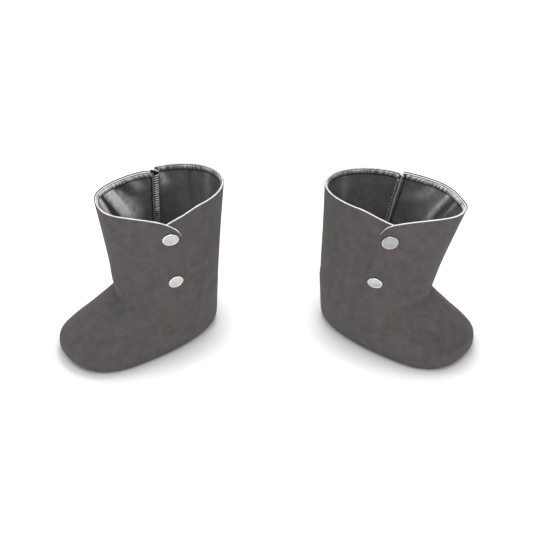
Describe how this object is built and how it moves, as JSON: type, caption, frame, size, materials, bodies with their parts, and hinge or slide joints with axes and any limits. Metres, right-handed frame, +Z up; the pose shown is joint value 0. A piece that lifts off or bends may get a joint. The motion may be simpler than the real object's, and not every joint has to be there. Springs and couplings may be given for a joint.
{
  "type": "pair of boot covers",
  "caption": "Pair of small boot-shaped cloth covers with open tops, snapped side flaps, light piped rims and puckered inner hems, standing upright on flat soles.",
  "frame": {"origin": "centre of the pair's bounding box, on the surface that the soles stand on", "axes": "+X across the pair toward the right cover, +Y from the toes toward the heels and away from the viewer, +Z up"},
  "size_m": [0.3069, 0.1017, 0.1216],
  "materials": {
    "cloth": "matte charcoal napped cloth",
    "lining": "dark grey lining with a soft satin sheen",
    "piping": "matte off-white edging",
    "snap_metal": "satin nickel",
    "snap_back_metal": "dull nickel"
  },
  "bodies": {
    "root": {"left_front_panel": "cloth", "left_back_panel": "cloth", "left_sole": "cloth", "left_front_hem": "lining", "left_back_hem": "lining", "left_seam_strip": "lining", "left_front_piping": "piping", "left_back_piping": "piping", "left_top_snap_cap": "snap_metal", "left_low_snap_cap": "snap_metal", "left_top_snap_back": "snap_back_metal", "left_low_snap_back": "snap_back_metal", "right_front_panel": "cloth", "right_back_panel": "cloth", "right_sole": "cloth", "right_front_hem": "lining", "right_back_hem": "lining", "right_seam_strip": "lining", "right_front_piping": "piping", "right_back_piping": "piping", "right_top_snap_cap": "snap_metal", "right_low_snap_cap": "snap_metal", "right_top_snap_back": "snap_back_metal", "right_low_snap_back": "snap_back_metal"}
  },
  "joints": []
}
